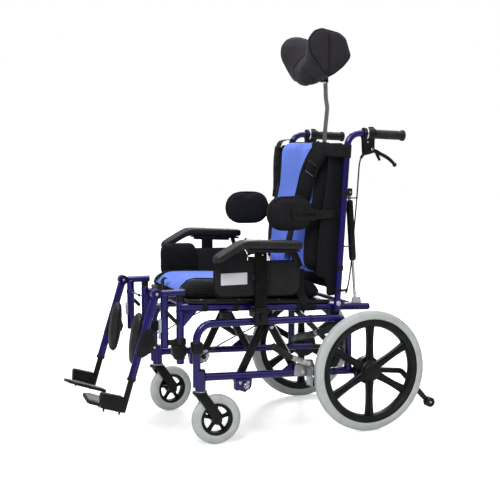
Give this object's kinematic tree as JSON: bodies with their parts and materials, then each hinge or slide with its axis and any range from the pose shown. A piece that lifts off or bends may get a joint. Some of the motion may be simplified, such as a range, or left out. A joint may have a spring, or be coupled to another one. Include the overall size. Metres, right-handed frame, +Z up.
{
  "type": "tilt and recline positioning wheelchair",
  "caption": "Manual positioning wheelchair with tilting seat, reclining back, winged headrest, side supports, padded guards and elevating leg rests.",
  "frame": {"origin": "on the floor under the middle of the chair's overall box", "axes": "+X towards the sitter's left, +Y towards the back of the chair, +Z up; the sitter faces -Y"},
  "size_m": [0.604, 1.2144, 1.3515],
  "materials": {
    "frame_paint": "deep violet-blue metallic lacquer, glossy",
    "frame_black": "black powder coat, satin",
    "bright_steel": "zinc-plated steel, bright",
    "plastic_black": "moulded black plastic, satin",
    "rubber_black": "black polyurethane skin, fine grain",
    "tyre_grey": "light grey non-marking solid tyre",
    "cloth_black": "black spacer fabric and stretch cloth over foam",
    "cable_black": "black cable sheath",
    "board_black": "black laminated board"
  },
  "bodies": {
    "base": {"base_frame_left": "frame_paint", "base_frame_right": "frame_paint", "cross_brace": "frame_black"},
    "seat": {"seat_frame": "frame_paint", "seat_board": "board_black", "seat_cushion": "cloth_black"},
    "back": {"back_frame": "frame_paint", "back_board": "board_black", "back_cushion": "cloth_black", "headrest_bracket": "plastic_black", "handle_grip_left": "rubber_black", "handle_grip_right": "rubber_black", "harness_strap_left": "cloth_black", "harness_strap_right": "cloth_black", "brake_cable_left": "cable_black", "brake_cable_right": "cable_black"},
    "headrest_bar": {"headrest_bar": "bright_steel"},
    "headrest_pad": {"headrest_pad": "cloth_black"},
    "caster_fork_left": {"caster_fork_left": "frame_black"},
    "caster_wheel_left": {"caster_wheel_left": "plastic_black", "caster_tyre_left": "tyre_grey"},
    "rear_wheel_left": {"rear_wheel_left": "plastic_black", "rear_tyre_left": "tyre_grey"},
    "anti_tip_roller_left": {"anti_tip_roller_left": "plastic_black"},
    "wheel_lock_lever_left": {"wheel_lock_lever_left": "bright_steel"},
    "tilt_strut_left": {"tilt_strut_left": "frame_black"},
    "tilt_rod_left": {"tilt_rod_left": "bright_steel"},
    "armrest_left": {"armrest_post_left": "frame_black", "armrest_pad_left": "rubber_black", "side_guard_left": "cloth_black"},
    "gas_rod_left": {"gas_rod_left": "bright_steel"},
    "gas_spring_left": {"gas_spring_left": "frame_black"},
    "lateral_support_left": {"lateral_support_left": "cloth_black"},
    "brake_lever_left": {"brake_lever_left": "plastic_black"},
    "leg_hanger_left": {"leg_hanger_left": "frame_paint"},
    "leg_tube_left": {"leg_tube_left": "frame_paint"},
    "foot_tube_left": {"foot_tube_left": "frame_black"},
    "footplate_left": {"footplate_left": "plastic_black"},
    "calf_pad_left": {"calf_pad_left": "cloth_black"},
    "caster_fork_right": {"caster_fork_right": "frame_black"},
    "caster_wheel_right": {"caster_wheel_right": "plastic_black", "caster_tyre_right": "tyre_grey"},
    "rear_wheel_right": {"rear_wheel_right": "plastic_black", "rear_tyre_right": "tyre_grey"},
    "anti_tip_roller_right": {"anti_tip_roller_right": "plastic_black"},
    "wheel_lock_lever_right": {"wheel_lock_lever_right": "bright_steel"},
    "tilt_strut_right": {"tilt_strut_right": "frame_black"},
    "tilt_rod_right": {"tilt_rod_right": "bright_steel"},
    "armrest_right": {"armrest_post_right": "frame_black", "armrest_pad_right": "rubber_black", "side_guard_right": "cloth_black"},
    "gas_rod_right": {"gas_rod_right": "bright_steel"},
    "gas_spring_right": {"gas_spring_right": "frame_black"},
    "lateral_support_right": {"lateral_support_right": "cloth_black"},
    "brake_lever_right": {"brake_lever_right": "plastic_black"},
    "leg_hanger_right": {"leg_hanger_right": "frame_paint"},
    "leg_tube_right": {"leg_tube_right": "frame_paint"},
    "foot_tube_right": {"foot_tube_right": "frame_black"},
    "footplate_right": {"footplate_right": "plastic_black"},
    "calf_pad_right": {"calf_pad_right": "cloth_black"}
  },
  "joints": [
    {"name": "seat_tilt", "type": "hinge", "parent": "base", "child": "seat", "pos_m": [0, 0.23142, 0.38], "axis": [-1, 0, 0], "range_deg": [0, 20]},
    {"name": "back_recline", "type": "hinge", "parent": "seat", "child": "back", "pos_m": [0, 0.24642, 0.43], "axis": [-1, 0, 0], "range_deg": [0, 40]},
    {"name": "headrest_height", "type": "slide", "parent": "back", "child": "headrest_bar", "axis": [0, 0.0639, 0.998], "range_m": [-0.03, 0.04]},
    {"name": "headrest_tilt", "type": "hinge", "parent": "headrest_bar", "child": "headrest_pad", "pos_m": [0, 0.29442, 1.176], "axis": [-1, 0, 0], "range_deg": [-15, 20]},
    {"name": "caster_swivel_left", "type": "hinge", "parent": "base", "child": "caster_fork_left", "pos_m": [0.23, -0.25358, 0.081], "axis": [0, 0, 1], "continuous": true},
    {"name": "caster_spin_left", "type": "hinge", "parent": "caster_fork_left", "child": "caster_wheel_left", "pos_m": [0.23363, -0.20171, 0.081], "axis": [0.9976, -0.0698, 0], "continuous": true},
    {"name": "rear_wheel_spin_left", "type": "hinge", "parent": "base", "child": "rear_wheel_left", "pos_m": [0.272, 0.33142, 0.203], "axis": [1, 0, 0], "continuous": true},
    {"name": "anti_tip_spin_left", "type": "hinge", "parent": "base", "child": "anti_tip_roller_left", "pos_m": [0.23, 0.59042, 0.064], "axis": [1, 0, 0], "continuous": true},
    {"name": "wheel_lock_throw_left", "type": "hinge", "parent": "base", "child": "wheel_lock_lever_left", "pos_m": [0.2493, 0.11742, 0.238], "axis": [1, 0, 0], "range_deg": [0, 12]},
    {"name": "tilt_strut_lean_left", "type": "hinge", "parent": "base", "child": "tilt_strut_left", "pos_m": [0.182, -0.10858, 0.19], "axis": [-1, 0, 0], "range_deg": [-6, 1]},
    {"name": "tilt_rod_slide_left", "type": "slide", "parent": "tilt_strut_left", "child": "tilt_rod_left", "axis": [0, 0.4612, 0.8873], "range_m": [0, 0.085]},
    {"name": "armrest_height_left", "type": "slide", "parent": "seat", "child": "armrest_left", "axis": [0, 0, 1], "range_m": [0, 0.04]},
    {"name": "gas_rod_lean_left", "type": "hinge", "parent": "seat", "child": "gas_rod_left", "pos_m": [0.188, 0.31842, 0.434], "axis": [-1, 0, 0], "range_deg": [-1, 48]},
    {"name": "gas_spring_slide_left", "type": "slide", "parent": "gas_rod_left", "child": "gas_spring_left", "axis": [0, 0.0712, -0.9975], "range_m": [-0.005, 0.06]},
    {"name": "lateral_height_left", "type": "slide", "parent": "back", "child": "lateral_support_left", "axis": [0, 0.0639, 0.998], "range_m": [-0.05, 0.03]},
    {"name": "brake_lever_pull_left", "type": "hinge", "parent": "back", "child": "brake_lever_left", "pos_m": [0.224, 0.35542, 0.941], "axis": [1, 0, 0], "range_deg": [0, 14], "stiffness_Nm_per_rad": 1.5},
    {"name": "leg_rest_swing_left", "type": "hinge", "parent": "seat", "child": "leg_hanger_left", "pos_m": [0.195, -0.30858, 0.3418], "axis": [0, 0, 1], "range_deg": [0, 90]},
    {"name": "leg_rest_lift_left", "type": "hinge", "parent": "leg_hanger_left", "child": "leg_tube_left", "pos_m": [0.195, -0.38858, 0.489], "axis": [-1, 0, 0], "range_deg": [0, 60]},
    {"name": "foot_tube_slide_left", "type": "slide", "parent": "leg_tube_left", "child": "foot_tube_left", "axis": [0, -0.2926, -0.9562], "range_m": [-0.03, 0.05]},
    {"name": "footplate_flip_left", "type": "hinge", "parent": "foot_tube_left", "child": "footplate_left", "pos_m": [0.171, -0.53458, 0.136], "axis": [0, 0.9455, -0.3256], "range_deg": [0, 80]},
    {"name": "calf_pad_swivel_left", "type": "hinge", "parent": "leg_tube_left", "child": "calf_pad_left", "pos_m": [0.1805, -0.42558, 0.335], "axis": [1, 0, 0], "range_deg": [-20, 20]},
    {"name": "caster_swivel_right", "type": "hinge", "parent": "base", "child": "caster_fork_right", "pos_m": [-0.23, -0.25358, 0.081], "axis": [0, 0, 1], "continuous": true},
    {"name": "caster_spin_right", "type": "hinge", "parent": "caster_fork_right", "child": "caster_wheel_right", "pos_m": [-0.23814, -0.20222, 0.081], "axis": [0.9877, 0.1564, 0], "continuous": true},
    {"name": "rear_wheel_spin_right", "type": "hinge", "parent": "base", "child": "rear_wheel_right", "pos_m": [-0.272, 0.33142, 0.203], "axis": [1, 0, 0], "continuous": true},
    {"name": "anti_tip_spin_right", "type": "hinge", "parent": "base", "child": "anti_tip_roller_right", "pos_m": [-0.23, 0.59042, 0.064], "axis": [1, 0, 0], "continuous": true},
    {"name": "wheel_lock_throw_right", "type": "hinge", "parent": "base", "child": "wheel_lock_lever_right", "pos_m": [-0.2493, 0.11742, 0.238], "axis": [1, 0, 0], "range_deg": [0, 12]},
    {"name": "tilt_strut_lean_right", "type": "hinge", "parent": "base", "child": "tilt_strut_right", "pos_m": [-0.182, -0.10858, 0.19], "axis": [-1, 0, 0], "range_deg": [-6, 1]},
    {"name": "tilt_rod_slide_right", "type": "slide", "parent": "tilt_strut_right", "child": "tilt_rod_right", "axis": [0, 0.4612, 0.8873], "range_m": [0, 0.085]},
    {"name": "armrest_height_right", "type": "slide", "parent": "seat", "child": "armrest_right", "axis": [0, 0, 1], "range_m": [0, 0.04]},
    {"name": "gas_rod_lean_right", "type": "hinge", "parent": "seat", "child": "gas_rod_right", "pos_m": [-0.188, 0.31842, 0.434], "axis": [-1, 0, 0], "range_deg": [-1, 48]},
    {"name": "gas_spring_slide_right", "type": "slide", "parent": "gas_rod_right", "child": "gas_spring_right", "axis": [0, 0.0712, -0.9975], "range_m": [-0.005, 0.06]},
    {"name": "lateral_height_right", "type": "slide", "parent": "back", "child": "lateral_support_right", "axis": [0, 0.0639, 0.998], "range_m": [-0.05, 0.03]},
    {"name": "brake_lever_pull_right", "type": "hinge", "parent": "back", "child": "brake_lever_right", "pos_m": [-0.224, 0.35542, 0.941], "axis": [1, 0, 0], "range_deg": [0, 14], "stiffness_Nm_per_rad": 1.5},
    {"name": "leg_rest_swing_right", "type": "hinge", "parent": "seat", "child": "leg_hanger_right", "pos_m": [-0.195, -0.30858, 0.3418], "axis": [0, 0, -1], "range_deg": [0, 90]},
    {"name": "leg_rest_lift_right", "type": "hinge", "parent": "leg_hanger_right", "child": "leg_tube_right", "pos_m": [-0.195, -0.38858, 0.489], "axis": [-1, 0, 0], "range_deg": [0, 60]},
    {"name": "foot_tube_slide_right", "type": "slide", "parent": "leg_tube_right", "child": "foot_tube_right", "axis": [0, -0.2926, -0.9562], "range_m": [-0.03, 0.05]},
    {"name": "footplate_flip_right", "type": "hinge", "parent": "foot_tube_right", "child": "footplate_right", "pos_m": [-0.171, -0.53458, 0.136], "axis": [0, -0.9455, 0.3256], "range_deg": [0, 80]},
    {"name": "calf_pad_swivel_right", "type": "hinge", "parent": "leg_tube_right", "child": "calf_pad_right", "pos_m": [-0.1805, -0.42558, 0.335], "axis": [1, 0, 0], "range_deg": [-20, 20]}
  ],
  "couplings": [
    {"joint": "tilt_strut_lean_left", "follows": "seat_tilt", "ratio": -0.23818},
    {"joint": "tilt_rod_slide_left", "follows": "seat_tilt", "m_per_rad": 0.22638},
    {"joint": "gas_rod_lean_left", "follows": "back_recline", "ratio": 1.0543},
    {"joint": "gas_spring_slide_left", "follows": "back_recline", "m_per_rad": 0.06847},
    {"joint": "tilt_strut_lean_right", "follows": "seat_tilt", "ratio": -0.23818},
    {"joint": "tilt_rod_slide_right", "follows": "seat_tilt", "m_per_rad": 0.22638},
    {"joint": "gas_rod_lean_right", "follows": "back_recline", "ratio": 1.0543},
    {"joint": "gas_spring_slide_right", "follows": "back_recline", "m_per_rad": 0.06847}
  ]
}
